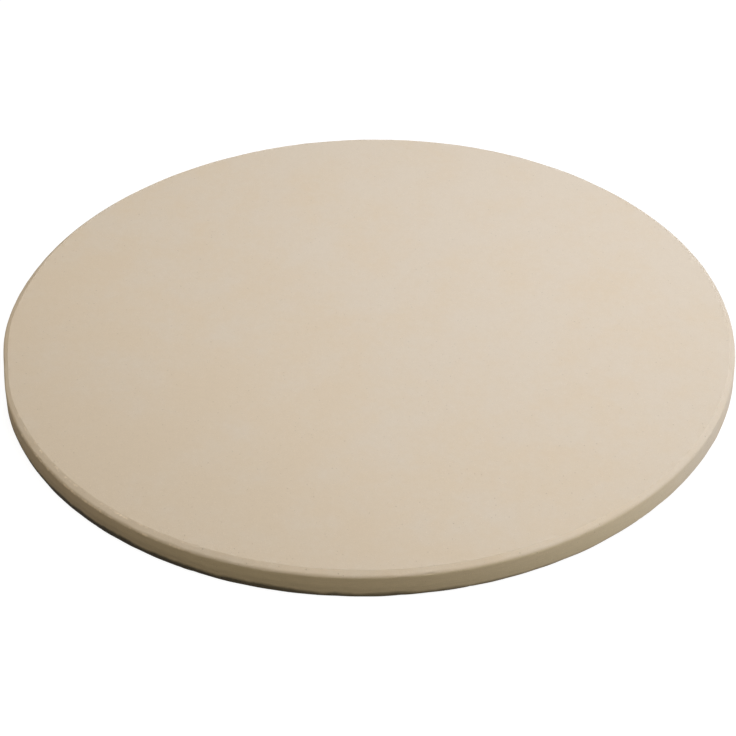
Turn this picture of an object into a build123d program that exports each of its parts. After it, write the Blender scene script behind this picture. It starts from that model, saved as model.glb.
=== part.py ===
from build123d import *

import math
import os

# A round baking stone for pizza: one pressed and fired disc of unglazed ceramic, with no hollow,
# foot or hole in it. It has a flat baking face, a narrow bevel round the upper edge, an upright
# wall, a rounded lower edge and a flat underside.
# Millimetres, +Z up, with the origin at the centre of the underside.

# The disc
STONE_DIAMETER = 380.0
STONE_THICKNESS = 15.0

# The bevel between the baking face and the wall
BEVEL_WIDTH = 2.7
BEVEL_HEIGHT = 2.3
FACE_EDGE_RADIUS = 0.4
WALL_EDGE_RADIUS = 2.2

# The rounding between the wall and the underside
LOWER_EDGE_RADIUS = 2.0

# No rounding takes up more than this share of the shorter straight beside it
MOST_OF_A_STRAIGHT_SHARE = 0.45


def eased(wanted_radius, turn, shorter_straight):
    """The radius for a corner that turns by an angle, limited by the straights beside it."""
    room = MOST_OF_A_STRAIGHT_SHARE * shorter_straight
    return min(wanted_radius, room / math.tan(turn / 2))


def half_section():
    """Half of the disc's section in the XZ plane, from the axis out to the rim and back."""
    rim = STONE_DIAMETER / 2
    wall_height = STONE_THICKNESS - BEVEL_HEIGHT
    bevel_length = math.hypot(BEVEL_WIDTH, BEVEL_HEIGHT)
    wall_to_bevel = math.atan2(BEVEL_WIDTH, BEVEL_HEIGHT)
    bevel_to_face = math.atan2(BEVEL_HEIGHT, BEVEL_WIDTH)
    radii = [
        eased(LOWER_EDGE_RADIUS, math.pi / 2, wall_height),
        eased(WALL_EDGE_RADIUS, wall_to_bevel, min(wall_height, bevel_length)),
        eased(FACE_EDGE_RADIUS, bevel_to_face, bevel_length),
    ]
    with BuildSketch(Plane.XZ) as section:
        with BuildLine():
            outline = FilletPolyline(
                (0, 0),
                (rim, 0),
                (rim, wall_height),
                (rim - BEVEL_WIDTH, STONE_THICKNESS),
                (0, STONE_THICKNESS),
                radius=radii,
            )
            Line(outline @ 1, outline @ 0)
        make_face()
    return section.sketch


def baking_stone():
    """The whole stone: its half section turned round the upright axis."""
    return revolve(half_section(), axis=Axis.Z)


os.makedirs("parts", exist_ok=True)
export_step(baking_stone(), "parts/baking_stone.step")
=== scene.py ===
"""A round pizza stone of unglazed fired clay, on a white ground in soft studio light.

The stone is one closed surface over two parameters, the angle round its axis and the distance
along its section. Metres throughout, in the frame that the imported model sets. Azimuths are in
degrees from +X towards +Y.
"""

import logging
import math
from dataclasses import dataclass
from enum import Enum
from typing import Any

import bpy
import numpy as np
from mathutils import Matrix, Vector


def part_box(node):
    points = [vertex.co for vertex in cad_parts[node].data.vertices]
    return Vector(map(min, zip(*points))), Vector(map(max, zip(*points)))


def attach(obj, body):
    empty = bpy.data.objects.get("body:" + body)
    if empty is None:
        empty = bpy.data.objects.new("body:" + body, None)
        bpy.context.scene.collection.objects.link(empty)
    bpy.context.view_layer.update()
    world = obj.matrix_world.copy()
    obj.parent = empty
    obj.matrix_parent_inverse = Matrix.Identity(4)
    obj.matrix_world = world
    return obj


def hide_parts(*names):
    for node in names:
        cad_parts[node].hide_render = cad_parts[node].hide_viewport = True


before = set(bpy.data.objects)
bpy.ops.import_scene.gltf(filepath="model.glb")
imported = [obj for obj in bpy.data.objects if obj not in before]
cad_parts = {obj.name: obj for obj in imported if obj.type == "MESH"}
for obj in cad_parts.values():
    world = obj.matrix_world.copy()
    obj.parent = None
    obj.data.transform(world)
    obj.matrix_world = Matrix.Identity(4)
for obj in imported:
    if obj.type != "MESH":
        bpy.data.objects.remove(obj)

CAD_NODE = "baking_stone"
CAD_BODY = "root"
MM = 0.001
TURN = 2 * math.pi
QUARTER_TURN = math.pi / 2

log = logging.getLogger("pizza_stone")

Colour = tuple[float, float, float]

WHITE: Colour = (1.0, 1.0, 1.0)


class Stretch(Enum):
    """The stretches of the stone's section, in order from the middle of the underside."""

    UNDERSIDE = 0
    LOWER_EDGE = 1
    WALL = 2
    WALL_EDGE = 3
    BEVEL = 4
    FACE_EDGE = 5
    FACE = 6


@dataclass(frozen=True)
class Waves:
    """How a size wanders round the rim: a sum of cosines with whole waves to the turn.

    Attributes:
        least: The fewest waves to the turn.
        most: The most waves to the turn.
        count: How many cosines are added.
        height: The sum's root mean square.
        seed: The seed of the draw.
    """

    least: int
    most: int
    count: int
    height: float
    seed: int

    def at(self, angle: np.ndarray) -> np.ndarray:
        """The wander at each angle, a sum of terms cos(n * angle + p).

        Each n is a whole number from least to most and each p is a random phase. The terms
        are scaled so that the sum's root mean square is the height.

        Args:
            angle: Angles round the axis, in radians.

        Returns:
            The wander, one value for each angle.
        """
        draw = np.random.default_rng(self.seed)
        rounds = draw.integers(self.least, self.most + 1, self.count)
        phases = draw.uniform(0.0, TURN, self.count)
        terms = np.cos(angle[..., None] * rounds + phases)
        return terms.sum(axis=-1) * self.height * math.sqrt(2 / self.count)


@dataclass(frozen=True)
class Lobe:
    """A rise and fall of a size round one angle of the rim.

    Attributes:
        middle: The azimuth of its middle.
        spread: The angle from the middle at which it has fallen to about a third, in degrees.
        height: What it comes to in the middle.
    """

    middle: float
    spread: float
    height: float

    def at(self, angle: np.ndarray) -> np.ndarray:
        """The lobe, height * exp(-(away / spread)^2), where away is the angle to the middle.

        Args:
            angle: Angles round the axis, in radians.

        Returns:
            The lobe's value, one for each angle.
        """
        away = (np.degrees(angle) - self.middle + 180.0) % 360.0 - 180.0
        return self.height * np.exp(-((away / self.spread) ** 2))


@dataclass(frozen=True)
class UnevenSize:
    """A size that changes round the rim.

    Attributes:
        plain: The size without its changes.
        wander: How it wanders all round.
        lobes: Where it grows, or shrinks where a lobe's height is negative.
    """

    plain: float
    wander: Waves
    lobes: tuple[Lobe, ...] = ()

    def at(self, angle: np.ndarray) -> np.ndarray:
        """The size at each angle: the plain one plus the lobes plus the wander."""
        return self.plain + sum(lobe.at(angle) for lobe in self.lobes) + self.wander.at(angle)


@dataclass(frozen=True)
class Rounding:
    """The rounding of one edge of the stone.

    Attributes:
        radius: Its radius.
        steps: How many equal steps its arc has.
        least_radius: The radius that it never falls below.
    """

    radius: UnevenSize
    steps: int
    least_radius: float = 0.2 * MM

    def arc(self, corners: list[np.ndarray], angle: np.ndarray) -> np.ndarray:
        """The arc that rounds one corner of the section, at every angle.

        With a the unit way in and n the unit normal to a on the side of the way out, the arc
        starts radius * tan(turn / 2) before the corner, and a point of it is
        start + radius * (sin(t) * a + (1 - cos(t)) * n), for t from zero to the turn.

        Args:
            corners: The corner before, the corner to round and the corner after, each with a
                row for every angle.
            angle: Angles round the axis, in radians.

        Returns:
            The points of the arc, both its ends among them, by angles by two.
        """
        before, corner, after = corners
        radius = np.maximum(self.radius.at(angle), self.least_radius)
        way_in = corner - before
        way_in = way_in / np.linalg.norm(way_in, axis=1, keepdims=True)
        way_out = after - corner
        way_out = way_out / np.linalg.norm(way_out, axis=1, keepdims=True)
        turn = np.arccos((way_in * way_out).sum(axis=1))
        normal = np.stack([-way_in[:, 1], way_in[:, 0]], axis=1)
        start = corner - way_in * (radius * np.tan(turn / 2))[:, None]
        at = np.linspace(0.0, 1.0, self.steps + 1)[:, None, None] * turn[None, :, None]
        return start + radius[:, None] * (np.sin(at) * way_in + (1 - np.cos(at)) * normal)


@dataclass(frozen=True)
class Section:
    """Half of the stone's section, from the axis out along the underside and back over the face.

    Each point of the section is a distance from the axis and a height.

    Attributes:
        rim: The stone's radius.
        thickness: The stone's thickness.
        flattened: Where the rim is flatter than round, and how far it falls short there.
        bevel_width: How wide the bevel is, across the face.
        bevel_height: How high it is, down the wall.
        bevel_lean: How much higher it is on its deepest side, and lower on the opposite one.
        deepest_bevel: The azimuth of that side.
        lower_edge: The rounding between the underside and the wall, rounder in the two places
            where the stone is set down on it.
        wall_edge: The rounding between the wall and the bevel.
        face_edge: The rounding between the bevel and the face.
        underside_steps: How many steps the surface has along the underside.
        wall_steps: How many it has up the wall.
        bevel_steps: How many it has along the bevel.
        face_steps: How many it has along the face.
    """

    rim: float
    thickness: float
    flattened: tuple[Lobe, ...] = (Lobe(187.5, 7.0, 1.5 * MM), Lobe(111.0, 14.0, 0.45 * MM))
    bevel_width: UnevenSize = UnevenSize(
        plain=2.7 * MM,
        wander=Waves(least=3, most=46, count=12, height=0.09 * MM, seed=11),
        lobes=(
            Lobe(225.0, 33.0, 0.90 * MM),
            Lobe(190.0, 8.0, -0.60 * MM),
            Lobe(164.0, 8.0, 0.50 * MM),
        ),
    )
    bevel_height: UnevenSize = UnevenSize(
        plain=2.3 * MM,
        wander=Waves(least=2, most=34, count=12, height=0.07 * MM, seed=12),
        lobes=(
            Lobe(248.0, 18.0, -0.18 * MM),
            Lobe(189.0, 9.0, -0.30 * MM),
            Lobe(288.0, 16.0, 0.20 * MM),
        ),
    )
    bevel_lean: float = 0.35 * MM
    deepest_bevel: float = 25.0
    lower_edge: Rounding = Rounding(
        UnevenSize(
            plain=1.8 * MM,
            wander=Waves(least=5, most=90, count=16, height=0.12 * MM, seed=15),
            lobes=(Lobe(324.0, 28.0, 1.6 * MM), Lobe(202.0, 9.0, 1.2 * MM)),
        ),
        steps=9,
    )
    wall_edge: Rounding = Rounding(
        UnevenSize(
            plain=2.2 * MM,
            wander=Waves(least=7, most=120, count=16, height=0.25 * MM, seed=14),
            lobes=(Lobe(300.0, 20.0, 1.5 * MM),),
        ),
        steps=9,
    )
    face_edge: Rounding = Rounding(
        UnevenSize(
            plain=0.4 * MM,
            wander=Waves(least=9, most=150, count=16, height=0.12 * MM, seed=13),
        ),
        steps=5,
    )
    underside_steps: int = 8
    wall_steps: int = 9
    bevel_steps: int = 6
    face_steps: int = 16

    def wall_edge_place(self) -> tuple[float, float]:
        """Where the wall meets the bevel, apart from its changes round the rim."""
        return self.rim, self.thickness - self.bevel_height.plain

    def face_edge_place(self) -> tuple[float, float]:
        """Where the bevel meets the face, apart from its changes round the rim."""
        return self.rim - self.bevel_width.plain, self.thickness

    def _corners(self, angle: np.ndarray) -> list[np.ndarray]:
        """The section's corners before they are rounded, from the axis round to the axis.

        The bevel leans by bevel_lean times the cosine of the angle to its deepest side.

        Args:
            angle: Angles round the axis, in radians.

        Returns:
            The five corners, each an array of angles by two.
        """
        lean = self.bevel_lean * np.cos(angle - math.radians(self.deepest_bevel))
        rim = self.rim - sum(flat.at(angle) for flat in self.flattened)
        ground = np.zeros_like(angle)
        face = ground + self.thickness
        return [
            np.stack([ground, ground], axis=1),
            np.stack([rim, ground], axis=1),
            np.stack([rim, face - self.bevel_height.at(angle) - lean], axis=1),
            np.stack([rim - self.bevel_width.at(angle), face], axis=1),
            np.stack([ground, face], axis=1),
        ]

    @staticmethod
    def _between(first: np.ndarray, last: np.ndarray, shares: np.ndarray) -> np.ndarray:
        """The points between two others at the shares of the way, without the two ends."""
        return first + shares[1:-1, None, None] * (last - first)

    def points(self, angle: np.ndarray) -> tuple[np.ndarray, np.ndarray]:
        """The section at every angle and the stretch that each of its points belongs to.

        The straights run between the arcs' ends. The steps of the underside and of the face
        shorten towards the rim as the sine of an even angle does.

        Args:
            angle: Angles round the axis, in radians.

        Returns:
            An array of points by angles by (distance from the axis, height) without the two
            points on the axis, and an array of Stretch values, one for each point.
        """
        corners = self._corners(angle)
        low, top, inner = (
            edge.arc(corners[i:i + 3], angle)
            for i, edge in enumerate((self.lower_edge, self.wall_edge, self.face_edge))
        )
        outward = np.sin(np.linspace(0.0, QUARTER_TURN, self.underside_steps + 1))
        inward = 1 - np.sin(np.linspace(QUARTER_TURN, 0.0, self.face_steps + 1))
        wall = np.linspace(0.0, 1.0, self.wall_steps + 1)
        bevel = np.linspace(0.0, 1.0, self.bevel_steps + 1)
        runs = {
            Stretch.UNDERSIDE: self._between(corners[0], low[0], outward),
            Stretch.LOWER_EDGE: low,
            Stretch.WALL: self._between(low[-1], top[0], wall),
            Stretch.WALL_EDGE: top,
            Stretch.BEVEL: self._between(top[-1], inner[0], bevel),
            Stretch.FACE_EDGE: inner,
            Stretch.FACE: self._between(inner[-1], corners[-1], inward),
        }
        kinds = np.concatenate([np.full(len(run), kind.value) for kind, run in runs.items()])
        return np.concatenate(list(runs.values())), kinds


@dataclass(frozen=True)
class Swell:
    """How far a surface falls short of the true one, from nothing to its depth.

    Attributes:
        shortest: The shortest wavelength.
        longest: The longest wavelength.
        depth: The most that the surface may fall short.
        seed: The seed of the draw.
        count: How many cosines are averaged.
    """

    shortest: float
    longest: float
    depth: float
    seed: int
    count: int = 12

    def at(self, place: np.ndarray) -> np.ndarray:
        """The shortfall, depth * (1 + the mean of cos(k . place + p)) / 2.

        Each k is a wave vector in a random direction and each p is a random phase.

        Args:
            place: Places in space, along the last axis.

        Returns:
            The shortfall at each place.
        """
        draw = np.random.default_rng(self.seed)
        ways = draw.normal(0.0, 1.0, (self.count, 3))
        ways /= np.linalg.norm(ways, axis=1, keepdims=True)
        lengths = draw.uniform(self.shortest, self.longest, (self.count, 1))
        phases = draw.uniform(0.0, TURN, self.count)
        waves = np.cos(place @ (ways * TURN / lengths).T + phases)
        return self.depth * (1 + waves.mean(axis=-1)) / 2


@dataclass(frozen=True)
class Chips:
    """Small dents along one edge of the stone, where grains have broken out.

    Attributes:
        edge: The edge that they lie on.
        count: How many there are.
        least_length: Half the length of the shortest, along the edge.
        most_length: Half the length of the longest.
        width: Half the width of the widest, across the edge.
        depth: The depth of the deepest.
        seed: The seed of the draw.
        first: The azimuth that they start at.
        last: The azimuth that they end at.
        narrowest_share: The narrowest one's width as a share of the widest one's.
        shallowest_share: A share whose square is the shallowest one's depth, as a share of the
            deepest one's.
        offset_share: How far from the edge their middles may lie, as a share of the width.
    """

    edge: Stretch
    count: int
    least_length: float
    most_length: float
    width: float
    depth: float
    seed: int
    first: float = 0.0
    last: float = 360.0
    narrowest_share: float = 0.5
    shallowest_share: float = 0.35
    offset_share: float = 0.4

    def at(self, angle: np.ndarray, across: np.ndarray, rim: float) -> np.ndarray:
        """How deep the dents go, each of them a shallow bowl with an oval outline.

        A bowl is depth * (1 - (along / length)^2 - (across / width)^2) where that is above
        zero, and nothing elsewhere.

        Args:
            angle: Angles round the axis, in radians.
            across: Distances along the section from the edge.
            rim: The stone's radius.

        Returns:
            The depth on the grid of both.
        """
        draw = np.random.default_rng(self.seed)
        places = np.radians(draw.uniform(self.first, self.last, self.count))
        lengths = draw.uniform(self.least_length, self.most_length, self.count)
        widths = self.width * draw.uniform(self.narrowest_share, 1.0, self.count)
        depths = self.depth * draw.uniform(self.shallowest_share, 1.0, self.count) ** 2
        offsets = self.width * draw.uniform(-self.offset_share, self.offset_share, self.count)
        turned = (angle[..., None] - places + math.pi) % TURN - math.pi
        along = turned * rim / lengths
        over = (across[..., None] - offsets) / widths
        return (np.maximum(1 - along**2 - over**2, 0.0) * depths).max(axis=-1)


class Link:
    """An output of a shader node, which Python's operators turn into Math nodes."""

    def __init__(self, graph: "Graph", socket: bpy.types.NodeSocket) -> None:
        """Keeps the socket and the graph that it is in."""
        self.graph = graph
        self.socket = socket

    def out(self, name: str) -> "Link":
        """Another output of the same node."""
        return Link(self.graph, self.socket.node.outputs[name])

    def _math(self, operation: str, first: Any, second: Any) -> "Link":
        """A Math node on two values, either of them a link or a number."""
        return self.graph.node("ShaderNodeMath", {"operation": operation}, {0: first, 1: second})

    def __add__(self, other: Any) -> "Link":
        """self + other."""
        return self._math("ADD", self, other)

    def __radd__(self, other: Any) -> "Link":
        """other + self."""
        return self._math("ADD", other, self)

    def __sub__(self, other: Any) -> "Link":
        """self - other."""
        return self._math("SUBTRACT", self, other)

    def __rsub__(self, other: Any) -> "Link":
        """other - self."""
        return self._math("SUBTRACT", other, self)

    def __mul__(self, other: Any) -> "Link":
        """self * other."""
        return self._math("MULTIPLY", self, other)

    def __rmul__(self, other: Any) -> "Link":
        """other * self."""
        return self._math("MULTIPLY", other, self)

    def __pow__(self, other: Any) -> "Link":
        """self ** other."""
        return self._math("POWER", self, other)

    def __rpow__(self, other: Any) -> "Link":
        """other ** self."""
        return self._math("POWER", other, self)

    def highest(self, other: Any) -> "Link":
        """The greater of self and other."""
        return self._math("MAXIMUM", self, other)


class Graph:
    """A node tree that is being filled."""

    # How many finer octaves each noise has, and the value that it varies about
    NOISE_DETAIL = 3.0
    NOISE_MIDDLE = 0.5

    def __init__(self, tree: bpy.types.NodeTree) -> None:
        """Empties the tree."""
        self.tree = tree
        tree.nodes.clear()

    def _make(
        self,
        kind: str,
        settings: dict[str, Any] | None,
        sockets: dict[str | int, Any] | None,
    ) -> bpy.types.Node:
        """Adds a node and gives it its settings first and its sockets' values and links next.

        Args:
            kind: The node's type.
            settings: The node's own properties.
            sockets: A value or a link for each input, by name or number.

        Returns:
            The node.
        """
        made = self.tree.nodes.new(kind)
        for name, value in (settings or {}).items():
            setattr(made, name, value)
        for key, value in (sockets or {}).items():
            if isinstance(key, int):
                socket = made.inputs[key]
            else:
                socket = next(s for s in made.inputs if s.enabled and s.name == key)
            if isinstance(value, Link):
                self.tree.links.new(value.socket, socket)
            else:
                socket.default_value = value
        return made

    def node(
        self,
        kind: str,
        settings: dict[str, Any] | None = None,
        sockets: dict[str | int, Any] | None = None,
        output: str | None = None,
    ) -> Link:
        """Adds a node.

        Args:
            kind: The node's type.
            settings: The node's own properties, set first.
            sockets: A value or a link for each input, by name, or by number where names
                repeat.
            output: The name of the output to return.

        Returns:
            The node's output of that name, or its first output where none is asked for.
        """
        made = self._make(kind, settings, sockets)
        if output is None:
            return Link(self, made.outputs[0])
        return Link(self, next(s for s in made.outputs if s.enabled and s.name == output))

    def finish(self, kind: str, surface: Link) -> None:
        """Adds the tree's output node and gives it its surface."""
        self._make(kind, None, {"Surface": surface})

    def split(self, place: Link) -> Link:
        """The X of a place, whose node also has its Y and Z."""
        return self.node("ShaderNodeSeparateXYZ", None, {"Vector": place})

    def step(self, value: Any, low: float, high: float) -> Link:
        """A smooth step of a value, 0 at low and 1 at high."""
        return self.node(
            "ShaderNodeMapRange",
            {"interpolation_type": "SMOOTHSTEP"},
            {"Value": value, "From Min": low, "From Max": high},
        )

    def mix(self, share: Link, first: Any, second: Any) -> Link:
        """A mix of two colours."""
        return self.node(
            "ShaderNodeMix",
            {"data_type": "RGBA"},
            {"Factor": share, "A": first, "B": second},
            output="Result",
        )

    def blended(self, share: Link, first: Link, second: Link) -> Link:
        """A mix of two shaders."""
        return self.node("ShaderNodeMixShader", None, {0: share, 1: first, 2: second})

    def scaled(self, colour: Any, share: Link) -> Link:
        """A colour times a number."""
        return self.node(
            "ShaderNodeVectorMath",
            {"operation": "SCALE"},
            {"Vector": colour, "Scale": share},
            output="Vector",
        )

    def stretched(self, place: Link, shares: tuple[float, float, float]) -> Link:
        """A place times a number along each axis."""
        return self.node(
            "ShaderNodeVectorMath",
            {"operation": "MULTIPLY"},
            {0: place, 1: shares},
            output="Vector",
        )

    def noise(self, place: Link, size: float, persistence: float) -> Link:
        """Noise around zero, mostly within a quarter.

        Args:
            place: The places to look at.
            size: About how large its features are.
            persistence: How much each finer octave has of the one before.

        Returns:
            The noise.
        """
        made = self.node(
            "ShaderNodeTexNoise",
            {"noise_dimensions": "3D"},
            {
                "Vector": place,
                "Scale": 1 / size,
                "Detail": self.NOISE_DETAIL,
                "Roughness": persistence,
            },
        )
        return made - self.NOISE_MIDDLE


def opaque(colour: Colour) -> tuple[float, float, float, float]:
    """A colour with an alpha of one."""
    return (*colour, 1.0)


class Spot:
    """The place on the stone that its material looks at, and the stretch that it lies on.

    Attributes:
        graph: The material's node tree.
        section: The stone's section.
        place: The place.
        east: Its X.
        north: Its Y.
        height: Its Z.
        radius: Its distance from the axis.
        outermost: 1 near the rim and 0 on the rest of the underside and the face.
        on_wall: 1 on the wall.
        on_bevel: 1 on the bevel.
    """

    # How far inside the rim the outermost part begins, and how far inside it is whole
    OUTERMOST_BEGINS = 3.6 * MM
    OUTERMOST_FULL = 2.0 * MM
    # Between which heights the wall gives way to the bevel, from the edge between them
    WALL_ENDS = (-0.9 * MM, 0.1 * MM)
    # Between which heights the bevel gives way to the face, from the face
    BEVEL_ENDS = (-0.30 * MM, -0.14 * MM)

    def __init__(self, graph: Graph, section: Section) -> None:
        """Adds the nodes that tell the stretches apart by distance from the axis and height.

        Args:
            graph: The material's node tree.
            section: The stone's section.
        """
        self.graph = graph
        self.section = section
        self.place = graph.node("ShaderNodeTexCoord", output="Object")
        self.east = graph.split(self.place)
        self.north = self.east.out("Y")
        self.height = self.east.out("Z")
        self.radius = (self.east * self.east + self.north * self.north) ** 0.5
        begins = section.rim - self.OUTERMOST_BEGINS
        full = section.rim - self.OUTERMOST_FULL
        self.outermost = graph.step(self.radius, begins, full)
        above = graph.step(self.height - section.wall_edge_place()[1], *self.WALL_ENDS)
        on_face = graph.step(self.height - section.thickness, *self.BEVEL_ENDS)
        self.on_wall = (1 - above) * self.outermost
        self.on_bevel = above * (1 - on_face)

    def towards(self, azimuth: float) -> Link:
        """How far the place lies towards a side.

        Args:
            azimuth: The side.

        Returns:
            1 at the rim there, 0 on the line across the axis, and -1 at the rim opposite.
        """
        turn = math.radians(azimuth)
        rim = self.section.rim
        return self.east * (math.cos(turn) / rim) + self.north * (math.sin(turn) / rim)

    def noise(self, size: float, persistence: float) -> Link:
        """Noise around zero at the place."""
        return self.graph.noise(self.place, size, persistence)


@dataclass(frozen=True)
class Side:
    """One side of the stone, where the clay is different.

    Attributes:
        azimuth: The side.
        begins: How far towards it the difference begins, as a share of the stone's radius.
        full: How far towards it the difference is whole.
        share: How large the whole difference is.
    """

    azimuth: float
    begins: float
    full: float
    share: float = 1.0

    def at(self, spot: Spot) -> Link:
        """The difference, 0 where it has not begun and the share where it is whole."""
        return self.share * spot.graph.step(spot.towards(self.azimuth), self.begins, self.full)


@dataclass(frozen=True)
class Texture:
    """Unevenness of the clay, as noise.

    Attributes:
        size: How large its features are.
        persistence: How much each finer octave has of the one before.
        tone: How much it lightens the clay.
        mixing: How much it counts in the mix of the clay's two colours.
        roughness: How much it adds to the roughness.
        relief: How high it stands.
        flatness: How much flatter than wide its features are.
    """

    size: float
    persistence: float
    tone: float
    mixing: float = 0.0
    roughness: float = 0.0
    relief: float = 0.0
    flatness: float = 1.0

    def at(self, spot: Spot) -> Link:
        """The noise around zero."""
        place = spot.graph.stretched(spot.place, (1.0, 1.0, self.flatness))
        return spot.graph.noise(place, self.size, self.persistence)


@dataclass(frozen=True)
class Grains:
    """Round grains or pores scattered through the clay.

    Attributes:
        spacing: The size of a cell.
        least: The least radius.
        most: The greatest radius.
        share: The share of the cells that hold one.
        tone: How much it lightens the clay, or darkens it where negative.
        relief: How high it stands, or how deep it goes where negative.
        softness: Half the width of its border, as a share of the least radius.
        choice_softness: Half the range of chances over which cells go over to holding none.
    """

    spacing: float
    least: float
    most: float
    share: float
    tone: float
    relief: float = 0.0
    softness: float = 0.35
    choice_softness: float = 0.01

    def at(self, spot: Spot) -> Link:
        """1 inside the grains and 0 between them.

        A grain is the ball round a cell's point whose radius lies between least and most, as
        the cell's own random number says, and a cell has one when its second random number is
        below the share.

        Args:
            spot: The place to look at.

        Returns:
            The mask.
        """
        graph = spot.graph
        scale = 1 / self.spacing
        cell = graph.node("ShaderNodeTexVoronoi", None, {"Vector": spot.place, "Scale": scale})
        chance = graph.split(cell.out("Color"))
        radius = self.least * scale + chance * ((self.most - self.least) * scale)
        border = self.softness * self.least * scale
        inside = 1 - graph.step(cell - radius, -border, border)
        low, high = self.share - self.choice_softness, self.share + self.choice_softness
        return inside * (1 - graph.step(chance.out("Y"), low, high))


@dataclass(frozen=True)
class Wear:
    """Wear along the bevel's two edges, broken up by noise.

    Attributes:
        reach: How far from an edge it goes.
        full_share: How much of the reach is wholly worn.
        ragged_size: The size of the noise that makes its border ragged.
        ragged_share: How far that noise moves the border, as a share of the reach.
        streak_size: The size of the noise that breaks it into streaks.
        streak_begins: The value of that noise at which a streak begins.
        streak_full: The value at which the streak is whole.
        persistence: How much each finer octave of both has of the one before.
        everywhere: How strong the wear is all round.
        rubbed: The side where it is stronger, and by how much.
        tone: How much it lightens the clay.
        polish: How much it takes from the roughness.
    """

    reach: float = 0.9 * MM
    full_share: float = 0.15
    ragged_size: float = 1.6 * MM
    ragged_share: float = 1.6
    streak_size: float = 5 * MM
    streak_begins: float = -0.02
    streak_full: float = 0.12
    persistence: float = 0.6
    everywhere: float = 0.2
    rubbed: Side = Side(221.0, begins=0.90, full=0.96, share=1.9)
    tone: float = 0.16
    polish: float = 0.08

    def _along(self, spot: Spot, edge: tuple[float, float]) -> Link:
        """Wear along one edge, 1 on the edge and 0 beyond its reach.

        Args:
            spot: The place to look at.
            edge: The edge's distance from the axis and its height.

        Returns:
            The mask.
        """
        out = spot.radius - edge[0]
        up = spot.height - edge[1]
        gap = (out * out + up * up) ** 0.5
        ragged = spot.noise(self.ragged_size, self.persistence) * (self.ragged_share * self.reach)
        near = 1 - spot.graph.step(gap + ragged, self.full_share * self.reach, self.reach)
        streaks = spot.noise(self.streak_size, self.persistence)
        return near * spot.graph.step(streaks, self.streak_begins, self.streak_full)

    def at(self, spot: Spot) -> Link:
        """How worn the clay is, by the more worn of the two edges and by the side.

        Args:
            spot: The place to look at.

        Returns:
            The wear, 0 where there is none.
        """
        on_face_edge = self._along(spot, spot.section.face_edge_place())
        on_wall_edge = self._along(spot, spot.section.wall_edge_place())
        return on_face_edge.highest(on_wall_edge) * (self.everywhere + self.rubbed.at(spot))


@dataclass(frozen=True)
class PaintedContactShade:
    """Painted contact shadow along the base of the wall, darkest and highest on one side.

    Attributes:
        half: The half of the stone where the painted shadow is dark, and how dark. It faces that
            side.
        top: How high the painted shadow reaches all round.
        climb: How much higher it reaches on that side.
        ragged_size: The size of the noise that makes its top ragged.
        ragged_persistence: How much each finer octave of it has of the one before.
        ragged_top: How much that noise moves the top all round.
        ragged_climb: How much more it moves it on that side.
        fade: Half the height over which the painted shadow ends.
        side_depth: How much darker it is on the side itself.
        upper_shade_depth: How dark the fainter painted shade above it is there.
        upper_shade_begins: How far above the painted shadow's top that shade begins to fade.
        upper_shade_ends: How far above the painted shadow's top it ends.
    """

    half: Side = Side(228.0, begins=-0.25, full=0.10, share=0.30)
    top: float = 1.5 * MM
    climb: float = 2.7 * MM
    ragged_size: float = 16 * MM
    ragged_persistence: float = 0.6
    ragged_top: float = 1.2 * MM
    ragged_climb: float = 2.6 * MM
    fade: float = 1.3 * MM
    side_depth: float = 0.50
    upper_shade_depth: float = 0.14
    upper_shade_begins: float = 2.2 * MM
    upper_shade_ends: float = 4.6 * MM

    def at(self, spot: Spot) -> Link:
        """How much darker the clay is painted, by the contact shadow, or by the fainter shade
        above it where that is darker.

        Args:
            spot: The place to look at.

        Returns:
            The darkening, 0 where there is none.
        """
        graph = spot.graph
        near = spot.towards(self.half.azimuth).highest(0.0)
        top = near * near * self.climb + self.top
        ragged = spot.noise(self.ragged_size, self.ragged_persistence)
        ragged = ragged * (near * self.ragged_climb + self.ragged_top)
        over = spot.height + ragged - top
        depth = self.half.at(spot) + self.side_depth * near
        # Painted contact shadow at the base of the wall, with a fainter painted shade above it
        painted_contact_shade = (1 - graph.step(over, -self.fade, self.fade)) * depth
        painted_upper_shade = (1 - graph.step(over, self.upper_shade_begins, self.upper_shade_ends)) * near * near
        return painted_contact_shade.highest(self.upper_shade_depth * painted_upper_shade) * spot.outermost


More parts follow.
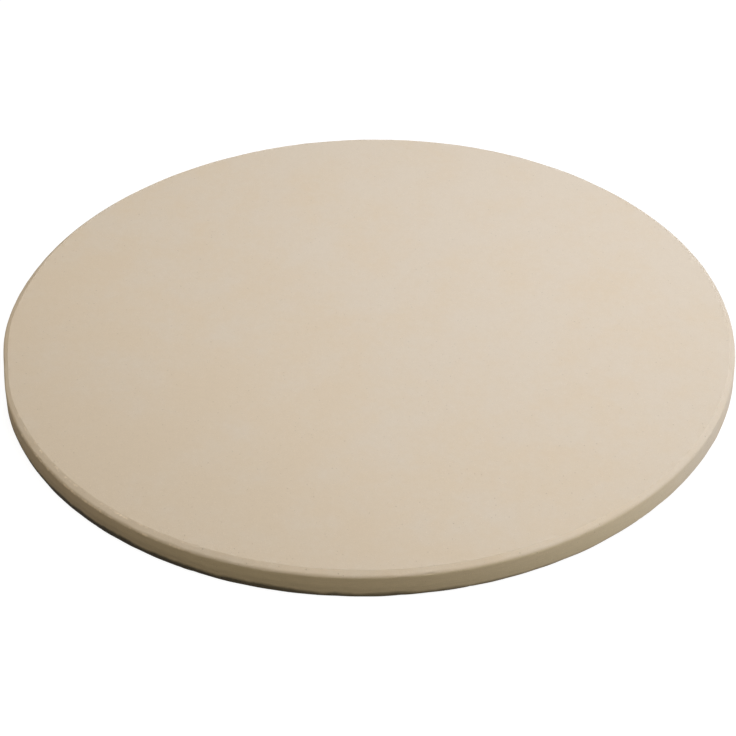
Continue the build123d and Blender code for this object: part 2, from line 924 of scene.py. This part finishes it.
@dataclass(frozen=True)
class FiredClay:
    """Unglazed fired clay: matt, pale and fine-grained, with pores and a few dark grains.

    Attributes:
        name: The material's name.
        warm: The colour where the clay holds more iron.
        cool: The colour where it holds less.
        mix_reach: The noise at which the mix of the two is wholly cool. Where it is as far
            below zero, the mix is wholly warm.
        roughness: The roughness of the open surface.
        specular: The IOR level.
        patches: The broad patches of the two colours.
        mottle: The mottling within them.
        grain: The clay's grain.
        layers: The flat layers that the press leaves in the wall.
        dark_grains: Grains of a darker mineral.
        pale_grains: Grains of a paler one.
        pores: Open pores, darkened with painted shade in the holes.
        wear: The wear along the bevel's edges.
        painted_contact_shade: The painted contact shadow along the base of the wall.
        painted_light_azimuth: The side towards which painted light makes the clay paler and
            cooler.
        painted_light_tone: How much paler the painted light makes it there, and how much darker
            the painted shade opposite.
        painted_cool_light_mixing: How much that painted light counts in the mix of the two
            colours, painting in its cooler tint.
        painted_shade_side: The side where painted shade makes the clay darker still.
        painted_bevel_light: How much paler the bevel is painted than the rest, as painted light.
        painted_bevel_shading: Where painted shade makes the bevel darker, or painted light makes
            it paler where a share is negative.
        painted_warm_shade_side: The side where the wall is painted warmer, as painted warm shade.
        painted_warm_shade_colour: The colour of that painted warm shade.
    """

    name: str = "fired_clay"
    warm: Colour = (0.675, 0.559, 0.420)
    cool: Colour = (0.665, 0.572, 0.458)
    mix_reach: float = 0.30
    roughness: float = 0.88
    specular: float = 0.25
    patches: Texture = Texture(size=28 * MM, persistence=0.55, tone=0.02, mixing=1.0)
    mottle: Texture = Texture(
        size=3.2 * MM, persistence=0.55, tone=0.05, mixing=0.4,
        roughness=0.15, relief=0.05 * MM,
    )
    grain: Texture = Texture(
        size=0.42 * MM, persistence=0.65, tone=0.16, roughness=0.10, relief=0.05 * MM,
    )
    layers: Texture = Texture(
        size=7 * MM, persistence=0.6, tone=0.20, relief=0.03 * MM, flatness=14.0,
    )
    dark_grains: Grains = Grains(
        spacing=2.1 * MM, least=0.10 * MM, most=0.30 * MM, share=0.55, tone=-0.10,
    )
    pale_grains: Grains = Grains(
        spacing=1.3 * MM, least=0.12 * MM, most=0.34 * MM, share=0.60,
        tone=0.05, relief=0.02 * MM,
    )
    # Open pores, darkened with painted shade in the holes
    pores: Grains = Grains(
        spacing=3.0 * MM, least=0.12 * MM, most=0.36 * MM, share=0.50,
        tone=-0.16, relief=-0.10 * MM,
    )
    wear: Wear = Wear()
    # Painted contact shadow along the base of the wall
    painted_contact_shade: PaintedContactShade = PaintedContactShade()
    # Painted light: the clay paler and cooler towards one side, with painted shade opposite
    painted_light_azimuth: float = 45.0
    painted_light_tone: float = 0.06
    painted_cool_light_mixing: float = 0.22
    # Painted shade on the far side
    painted_shade_side: Side = Side(225.0, begins=0.30, full=1.0, share=0.04)
    # Painted light on the bevel, and painted shade or light on it side by side
    painted_bevel_light: float = 0.06
    painted_bevel_shading: tuple[Side, ...] = (
        Side(0.0, begins=0.55, full=0.95, share=0.048),
        Side(229.0, begins=0.80, full=0.97, share=0.09),
        Side(158.0, begins=0.94, full=0.99, share=0.11),
        Side(292.0, begins=0.93, full=0.99, share=-0.045),
    )
    # Painted warm shade on one side of the wall
    painted_warm_shade_side: Side = Side(277.0, begins=0.50, full=0.95)
    painted_warm_shade_colour: Colour = (0.671, 0.560, 0.382)

    def _shader(self, spot: Spot) -> Link:
        """The clay's shader: one colour for each place, times a tone, over a fine relief.

        Args:
            spot: The place to look at.

        Returns:
            The shader.
        """
        graph = spot.graph
        patches = self.patches.at(spot)
        mottle = self.mottle.at(spot)
        grain = self.grain.at(spot)
        layers = self.layers.at(spot) * spot.on_wall
        dark = self.dark_grains.at(spot)
        pale = self.pale_grains.at(spot)
        # Open pores, darkened below with painted shade
        pores = self.pores.at(spot)
        worn = self.wear.at(spot)
        # A painted light gradient across the stone, with painted shade on the far side
        painted_light = spot.towards(self.painted_light_azimuth)

        # Painted light on the bevel, less the painted shade of each side
        bevel = self.painted_bevel_light
        for painted_shading in self.painted_bevel_shading:
            bevel = bevel - painted_shading.at(spot)
        tone = 1 + self.painted_light_tone * painted_light - self.painted_shade_side.at(spot) + bevel * spot.on_bevel
        tone = tone + self.patches.tone * patches + self.mottle.tone * mottle
        tone = tone + self.grain.tone * grain + self.layers.tone * layers
        tone = tone + self.dark_grains.tone * dark + self.pale_grains.tone * pale
        # Painted shade in the pores, real wear, and less the painted contact shadow at the base
        # of the wall
        tone = tone + self.pores.tone * pores + self.wear.tone * worn - self.painted_contact_shade.at(spot)

        cooler = self.patches.mixing * patches + self.mottle.mixing * mottle
        # The painted light also paints its cool tint into the mix of the two colours
        cooler = graph.step(cooler + self.painted_cool_light_mixing * painted_light, -self.mix_reach, self.mix_reach)
        colour = graph.mix(cooler, opaque(self.warm), opaque(self.cool))
        # Painted warm shade on one side of the wall
        painted_warm_shade = spot.on_wall * self.painted_warm_shade_side.at(spot)
        colour = graph.mix(painted_warm_shade, colour, opaque(self.painted_warm_shade_colour))

        roughness = self.roughness - self.wear.polish * worn
        roughness = roughness + self.mottle.roughness * mottle + self.grain.roughness * grain
        relief = self.mottle.relief * mottle + self.grain.relief * grain
        relief = relief + self.layers.relief * layers
        relief = relief + self.pale_grains.relief * pale + self.pores.relief * pores
        # The relief is in metres, so the bump's own distance is one
        bump = graph.node(
            "ShaderNodeBump",
            None,
            {"Strength": 1.0, "Distance": 1.0, "Height": relief},
        )
        return graph.node(
            "ShaderNodeBsdfPrincipled",
            None,
            {
                "Base Color": graph.scaled(colour, tone),
                "Roughness": roughness,
                "Specular IOR Level": self.specular,
                "Normal": bump,
            },
        )

    def material(self, section: Section) -> bpy.types.Material:
        """The clay's material.

        Args:
            section: The section of the stone that it covers.

        Returns:
            The material.
        """
        made = bpy.data.materials.new(self.name)
        made.use_nodes = True
        graph = Graph(made.node_tree)
        graph.finish("ShaderNodeOutputMaterial", self._shader(Spot(graph, section)))
        return made


@dataclass(frozen=True)
class PizzaStone:
    """The stone: a pressed disc of fired clay, its faces a little uneven and its edges worn.

    Attributes:
        section: Half of its section.
        finish: The clay.
        angle_steps: How many steps the surface has round the axis.
        face_swell: The unevenness of the face.
        under_swell: The unevenness of the underside.
        wall_swell: The unevenness of the wall.
        chips: The chips along its edges, more of them at the front left.
    """

    section: Section
    finish: FiredClay = FiredClay()
    angle_steps: int = 1440
    face_swell: Swell = Swell(shortest=60 * MM, longest=220 * MM, depth=0.12 * MM, seed=21)
    under_swell: Swell = Swell(shortest=40 * MM, longest=160 * MM, depth=0.30 * MM, seed=22)
    wall_swell: Swell = Swell(shortest=12 * MM, longest=60 * MM, depth=0.12 * MM, seed=23)
    chips: tuple[Chips, ...] = (
        Chips(
            Stretch.FACE_EDGE, count=22, least_length=1.2 * MM, most_length=3.2 * MM,
            width=0.7 * MM, depth=0.16 * MM, seed=31,
        ),
        Chips(
            Stretch.FACE_EDGE, count=12, least_length=1.5 * MM, most_length=4.5 * MM,
            width=0.9 * MM, depth=0.20 * MM, seed=32, first=198.0, last=246.0,
        ),
        Chips(
            Stretch.WALL_EDGE, count=16, least_length=1.2 * MM, most_length=2.8 * MM,
            width=0.7 * MM, depth=0.24 * MM, seed=33,
        ),
        Chips(
            Stretch.LOWER_EDGE, count=24, least_length=1.3 * MM, most_length=3.6 * MM,
            width=1.2 * MM, depth=0.26 * MM, seed=34,
        ),
    )

    def _grid(self) -> np.ndarray:
        """The stone's surface on a grid of section points by angles.

        A point of the section first goes in along the section's normal by the depth of the
        chips there. The angle then turns it round the axis, and the surface gets its
        unevenness.

        Returns:
            An array of places, section points by angles by three.
        """
        angle = np.linspace(0.0, TURN, self.angle_steps, endpoint=False)
        outline, kinds = self.section.points(angle)
        way = np.gradient(outline, axis=0)
        way /= np.linalg.norm(way, axis=-1, keepdims=True)
        outward = np.stack([way[..., 1], -way[..., 0]], axis=-1)
        steps = np.linalg.norm(np.diff(outline, axis=0), axis=-1)
        along = np.concatenate([np.zeros((1, self.angle_steps)), np.cumsum(steps, axis=0)])
        for chips in self.chips:
            middle = along[kinds == chips.edge.value].mean(axis=0)
            dent = chips.at(angle, along - middle, self.section.rim)
            outline = outline - outward * dent[..., None]
        radius, height = outline[..., 0], outline[..., 1]
        place = np.stack([radius * np.cos(angle), radius * np.sin(angle), height], axis=-1)
        return self._uneven(place)

    def _uneven(self, place: np.ndarray) -> np.ndarray:
        """Places with the unevenness of the wall, the underside and the face.

        The distance from the axis shrinks by the share w / rim, with w the shortfall of the
        wall. The height z goes to b + (t - b) * z / thickness, with b the local height of the
        underside and t that of the face.

        Args:
            place: Places in space, along the last axis.

        Returns:
            The places where they go.
        """
        shrunk = 1 - self.wall_swell.at(place) / self.section.rim
        flat = place * np.array([1.0, 1.0, 0.0])
        bottom = self.under_swell.at(flat)
        top = self.section.thickness - self.face_swell.at(flat)
        level = bottom + (top - bottom) * place[..., 2] / self.section.thickness
        return np.stack([place[..., 0] * shrunk, place[..., 1] * shrunk, level], axis=-1)

    def _vertices(self, grid: np.ndarray) -> np.ndarray:
        """The surface's vertices: the grid's places, then the two places on the axis.

        They are lowered until the lowest one touches the ground, by less the higher they are
        and by nothing at the height of the face.

        Args:
            grid: The places on the grid.

        Returns:
            An array of vertices by three.
        """
        poles = self._uneven(np.array([(0.0, 0.0, 0.0), (0.0, 0.0, self.section.thickness)]))
        vertices = np.concatenate([grid.reshape(-1, 3), poles])
        lowest = vertices[:, 2].min()
        vertices[:, 2] -= lowest * (1 - vertices[:, 2] / self.section.thickness)
        return vertices

    @staticmethod
    def _faces(rows: int, columns: int) -> tuple[np.ndarray, np.ndarray]:
        """The surface's faces, four-sided between the rows and three-sided round the axis.

        Args:
            rows: How many points the section has.
            columns: How many angles there are.

        Returns:
            The vertices of all the faces' corners in order, and where each face starts.
        """
        index = np.arange(rows * columns).reshape(rows, columns)
        beside = np.roll(index, -1, axis=1)
        quads = np.stack([index[:-1], beside[:-1], beside[1:], index[1:]], axis=-1).reshape(-1, 4)
        under = np.full(columns, rows * columns)
        over = np.full(columns, rows * columns + 1)
        fans = np.concatenate([
            np.stack([under, beside[0], index[0]], axis=-1),
            np.stack([over, index[-1], beside[-1]], axis=-1),
        ])
        corners = np.concatenate([quads.ravel(), fans.ravel()])
        starts = np.concatenate([
            np.arange(len(quads)) * quads.shape[1],
            quads.size + np.arange(len(fans)) * fans.shape[1],
        ])
        return corners, starts

    def build(self) -> bpy.types.Object:
        """Makes the stone's mesh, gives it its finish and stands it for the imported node.

        Returns:
            The stone's object.
        """
        grid = self._grid()
        vertices = self._vertices(grid)
        corners, starts = self._faces(*grid.shape[:2])
        mesh = bpy.data.meshes.new("pizza_stone")
        mesh.vertices.add(len(vertices))
        mesh.vertices.foreach_set("co", vertices.ravel())
        mesh.loops.add(len(corners))
        mesh.loops.foreach_set("vertex_index", corners)
        mesh.polygons.add(len(starts))
        mesh.polygons.foreach_set("loop_start", starts)
        mesh.update(calc_edges=True)
        mesh.validate()
        mesh.shade_smooth()
        mesh.materials.append(self.finish.material(self.section))
        piece = bpy.data.objects.new("pizza_stone", mesh)
        bpy.context.scene.collection.objects.link(piece)
        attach(piece, CAD_BODY)
        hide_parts(CAD_NODE)
        return piece


@dataclass(frozen=True)
class StudioCamera:
    """The camera, looking down at the stone from the front.

    Attributes:
        elevation: How high it stands above the ground, in degrees.
        roll: How far it is turned about its line of sight, in degrees.
        distance: How far it is from the place that it looks at.
        aim: That place.
        lens: Its focal length, in millimetres.
        sensor: The width of its sensor, in millimetres.
    """

    elevation: float = 37.056
    roll: float = -0.990
    distance: float = 1.2748
    aim: tuple[float, float, float] = (-0.0001, -0.0134, 0.0)
    lens: float = 120.0
    sensor: float = 36.0

    def build(self) -> bpy.types.Object:
        """Makes the camera and takes the picture through it.

        Returns:
            The camera's object.
        """
        elevation = math.radians(self.elevation)
        roll = math.radians(self.roll)
        back = Vector((0.0, -math.cos(elevation), math.sin(elevation)))
        level = Vector((1.0, 0.0, 0.0))
        up = back.cross(level)
        across = level * math.cos(roll) + up * math.sin(roll)
        above = up * math.cos(roll) - level * math.sin(roll)
        turned = Matrix((across, above, back)).transposed().to_4x4()
        lens = bpy.data.cameras.new("studio_camera")
        lens.lens = self.lens
        lens.sensor_width = self.sensor
        camera = bpy.data.objects.new("studio_camera", lens)
        camera.matrix_world = Matrix.Translation(Vector(self.aim) + back * self.distance) @ turned
        bpy.context.scene.collection.objects.link(camera)
        bpy.context.scene.camera = camera
        return camera


@dataclass(frozen=True)
class Softbox:
    """A square lamp that faces the stone.

    Attributes:
        name: The lamp's name.
        azimuth: Where it stands round the stone.
        elevation: How high it stands above the ground, in degrees.
        distance: How far it is from the stone's middle.
        side: The length of its side.
        level: How bright it alone makes a level white surface at the stone's middle.
        tint: The colour of its light.
    """

    name: str
    azimuth: float
    elevation: float
    distance: float
    side: float
    level: float
    tint: Colour

    def build(self) -> bpy.types.Object:
        """Hangs the lamp.

        An even square lamp of power P at distance d and elevation e gives a level white
        surface below it the brightness P * sin(e) / (pi * d)^2.

        Returns:
            The lamp's object.
        """
        azimuth = math.radians(self.azimuth)
        elevation = math.radians(self.elevation)
        way = Vector((
            math.cos(azimuth) * math.cos(elevation),
            math.sin(azimuth) * math.cos(elevation),
            math.sin(elevation),
        ))
        lamp = bpy.data.lights.new(self.name, "AREA")
        lamp.shape = "SQUARE"
        lamp.size = self.side
        lamp.energy = self.level * (math.pi * self.distance) ** 2 / math.sin(elevation)
        lamp.color = self.tint
        made = bpy.data.objects.new(self.name, lamp)
        made.location = way * self.distance
        made.rotation_mode = "QUATERNION"
        made.rotation_quaternion = way.to_track_quat("Z", "Y")
        bpy.context.scene.collection.objects.link(made)
        return made


@dataclass(frozen=True)
class Studio:
    """The white ground, the lamps and the light from all round.

    Attributes:
        stone_rim: The stone's radius.
        lamps: The lamps.
        opening_inset: How far inside the stone's rim the opening in the ground ends, through
            which light from below reaches the underside.
        opening_border: The width over which the opening closes.
        ambient: The strength of the light from all round.
        ambient_tint: Its colour.
        underlight: The strength of the light from below the ground.
        underlight_full: The Z of a ray's direction at which that light is whole.
        underlight_ends: The Z at which the light from all round has taken its place.
        ground_half: Half the side of the ground.
        ground_colour: The colour that the ground shows by the lamps' light alone.
        ground_glow: The light that is added to it where it is seen.
        bounce: The strength of the light that it throws back onto the stone from the right.
        bounce_tint: That light's colour.
        bounce_reach: How far from the middle that light grows to its full strength.
    """

    stone_rim: float
    lamps: tuple[Softbox, ...] = (
        Softbox(
            "top_light", azimuth=-45.0, elevation=70.0, distance=2.2, side=1.2,
            level=0.487, tint=(0.885, 0.938, 1.0),
        ),
        Softbox(
            "near_light", azimuth=25.0, elevation=68.0, distance=0.6, side=0.4,
            level=0.409, tint=(0.641, 0.748, 1.0),
        ),
    )
    opening_inset: float = 4 * MM
    opening_border: float = 1 * MM
    ambient: float = 0.360
    ambient_tint: Colour = (1.0, 0.840, 0.550)
    underlight: float = 0.85
    underlight_full: float = -0.10
    underlight_ends: float = -0.02
    ground_half: float = 4.0
    ground_colour: Colour = (0.15, 0.15, 0.15)
    ground_glow: float = 0.94
    bounce: float = 1.695
    bounce_tint: Colour = (0.850, 0.896, 1.0)
    bounce_reach: float = 0.35

    @staticmethod
    def _seen(graph: Graph) -> Link:
        """1 on rays that see the studio directly, in a mirror or through glass."""
        path = graph.node("ShaderNodeLightPath", output="Is Camera Ray")
        return path.highest(path.out("Is Glossy Ray")).highest(path.out("Is Transmission Ray"))

    def _ground_material(self) -> bpy.types.Material:
        """The ground's material.

        Where it is seen it is white and keeps the stone's shadow, and towards the stone it
        throws light back from the right. Under the stone and from below it is clear.

        Returns:
            The material.
        """
        made = bpy.data.materials.new("white_ground")
        made.use_nodes = True
        graph = Graph(made.node_tree)
        east = graph.split(graph.node("ShaderNodeTexCoord", output="Object"))
        north = east.out("Y")
        tinted = graph.scaled(self.bounce_tint, graph.step(east, 0.0, self.bounce_reach))
        lit = graph.node("ShaderNodeBsdfDiffuse", None, {"Color": opaque(self.ground_colour)})
        cast = graph.node("ShaderNodeEmission", None, {"Color": tinted, "Strength": self.bounce})
        glow = graph.node("ShaderNodeEmission", None, {"Strength": self.ground_glow})
        unseen = graph.node("ShaderNodeAddShader", None, {0: lit, 1: cast})
        shown = graph.node("ShaderNodeAddShader", None, {0: lit, 1: glow})
        solid = graph.blended(self._seen(graph), unseen, shown)
        radius = (east * east + north * north) ** 0.5
        edge = self.stone_rim - self.opening_inset
        opened = 1 - graph.step(radius, edge - self.opening_border, edge)
        below = graph.node("ShaderNodeNewGeometry", output="Backfacing")
        clear = graph.node("ShaderNodeBsdfTransparent")
        ground = graph.blended(below.highest(opened), solid, clear)
        graph.finish("ShaderNodeOutputMaterial", ground)
        return made

    def _ground(self) -> bpy.types.Object:
        """Makes the ground, a level square under the stone.

        Returns:
            The ground's object.
        """
        half = self.ground_half
        mesh = bpy.data.meshes.new("ground")
        mesh.from_pydata(
            [(-half, -half, 0.0), (half, -half, 0.0), (half, half, 0.0), (-half, half, 0.0)],
            [],
            [(0, 1, 2, 3)],
        )
        mesh.materials.append(self._ground_material())
        ground = bpy.data.objects.new("ground", mesh)
        bpy.context.scene.collection.objects.link(ground)
        return ground

    def _world(self) -> None:
        """Makes the light from all round and from below, which looks white where it is seen."""
        world = bpy.data.worlds.new("studio")
        world.use_nodes = True
        graph = Graph(world.node_tree)
        white = graph.node("ShaderNodeBackground", None, {"Color": opaque(WHITE)})
        soft = graph.node(
            "ShaderNodeBackground",
            None,
            {"Color": opaque(self.ambient_tint), "Strength": self.ambient},
        )
        under = graph.node("ShaderNodeBackground", None, {"Strength": self.underlight})
        upward = graph.split(graph.node("ShaderNodeTexCoord", output="Generated")).out("Z")
        share = graph.step(upward, self.underlight_full, self.underlight_ends)
        light = graph.blended(self._seen(graph), graph.blended(share, under, soft), white)
        graph.finish("ShaderNodeOutputWorld", light)
        bpy.context.scene.world = world

    def build(self) -> list[bpy.types.Object]:
        """Makes the ground, the world and the lamps, and sets the view transform.

        Returns:
            The objects of the ground and the lamps.
        """
        self._world()
        bpy.context.scene.view_settings.view_transform = "Standard"
        return [self._ground()] + [lamp.build() for lamp in self.lamps]


def packed_section() -> Section:
    """The stone's section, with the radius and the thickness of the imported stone's box."""
    low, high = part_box(CAD_NODE)
    return Section(rim=max(high.x, high.y, -low.x, -low.y), thickness=high.z - low.z)


def main() -> None:
    """Builds the camera, the stone and the studio."""
    logging.basicConfig(level=logging.INFO, format="%(name)s: %(message)s")
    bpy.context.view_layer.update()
    section = packed_section()
    camera = StudioCamera().build()
    stone = PizzaStone(section).build()
    studio = Studio(section.rim).build()
    log.info("%s: %d vertices", stone.name, len(stone.data.vertices))
    for made in (camera, *studio):
        log.info("%s: %s", made.name, made.type.lower())


if __name__ == "__main__":
    main()
